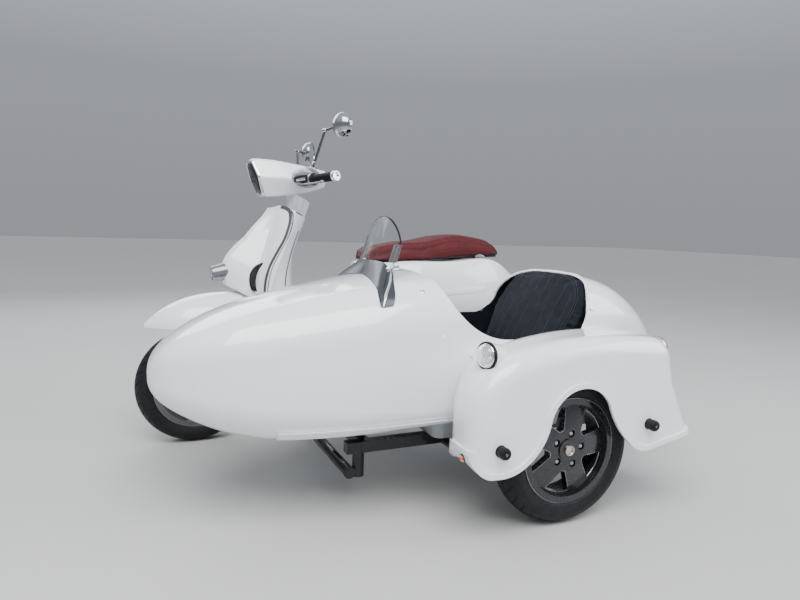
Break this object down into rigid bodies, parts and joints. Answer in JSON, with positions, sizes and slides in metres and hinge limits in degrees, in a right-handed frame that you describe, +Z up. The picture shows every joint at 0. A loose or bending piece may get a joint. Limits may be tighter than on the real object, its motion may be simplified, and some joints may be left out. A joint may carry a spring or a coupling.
{
  "type": "sidecar motorcycle",
  "caption": "Retro motor scooter with a streamlined one-seat sidecar on its left side, steerable front wheel, lifting seat, folding centre stand and a flared mudguard over the sidecar wheel.",
  "frame": {"origin": "centre of the bounding box on the ground the tyres stand on", "axes": "+X forward, +Y to the left towards the sidecar, +Z up"},
  "size_m": [1.8739, 1.61, 1.33],
  "materials": {
    "white_paint": "gloss",
    "black_steel": "semi gloss",
    "tyre": "matt",
    "rubber": "matt",
    "wheel_grey": "satin paint",
    "alloy": "satin",
    "chrome": "polished",
    "steel": "brushed",
    "clear_screen": "clear",
    "lamp_glass": "clear",
    "red_lens": "gloss",
    "black_plastic": "satin",
    "grey_plastic": "satin",
    "red_vinyl": "satin",
    "black_vinyl": "satin"
  },
  "bodies": {
    "root": {"scooter_frame": "black_steel", "leg_shield": "white_paint", "inner_shield": "white_paint", "horn_casting": "white_paint", "front_mudguard": "white_paint", "floorboard": "white_paint", "rear_body": "white_paint", "side_covers": "white_paint", "storage_bucket": "black_plastic", "rear_lamps": "red_lens", "rear_fender": "black_plastic", "engine": "alloy", "exhaust": "steel", "rear_shock": "black_steel", "sidecar_shell": "white_paint", "sidecar_floor": "grey_plastic", "sidecar_mudguard": "white_paint", "sidecar_seat": "black_vinyl", "sidecar_backrest": "black_vinyl", "windscreen": "clear_screen", "screen_bracket": "steel", "sidecar_lamp": "lamp_glass", "rubber_buffers": "rubber", "sidecar_frame": "black_steel", "sidecar_axle": "black_steel"},
    "steering": {"fork": "black_steel", "headset": "white_paint", "headlamp": "lamp_glass", "lamp_bezel": "chrome", "switch_housings": "alloy", "grips": "rubber", "levers": "chrome", "mirrors": "chrome"},
    "front_wheel": {"front_tyre": "tyre", "front_rim": "wheel_grey"},
    "rear_wheel": {"rear_tyre": "tyre", "rear_rim": "wheel_grey"},
    "side_wheel": {"side_tyre": "tyre", "side_rim": "wheel_grey"},
    "seat": {"seat_cushion": "red_vinyl", "seat_base": "black_plastic"},
    "stand": {"centre_stand": "black_steel"}
  },
  "joints": [
    {"name": "steer", "type": "hinge", "parent": "root", "child": "steering", "pos_m": [0.42481, -0.427, 0.71281], "axis": [-0.454, 0, 0.891], "range_deg": [-38, 38]},
    {"name": "front_spin", "type": "hinge", "parent": "steering", "child": "front_wheel", "pos_m": [0.708, -0.427, 0.229], "axis": [0, 1, 0], "continuous": true},
    {"name": "rear_spin", "type": "hinge", "parent": "root", "child": "rear_wheel", "pos_m": [-0.632, -0.427, 0.236], "axis": [0, 1, 0], "continuous": true},
    {"name": "side_spin", "type": "hinge", "parent": "root", "child": "side_wheel", "pos_m": [-0.252, 0.6785, 0.2335], "axis": [0, 1, 0], "continuous": true},
    {"name": "seat_lid", "type": "hinge", "parent": "root", "child": "seat", "pos_m": [0.008, -0.427, 0.742], "axis": [0, 1, 0], "range_deg": [0, 75]},
    {"name": "stand_fold", "type": "hinge", "parent": "root", "child": "stand", "pos_m": [-0.24, -0.427, 0.15], "axis": [0, 1, 0], "range_deg": [-60, 0]}
  ]
}
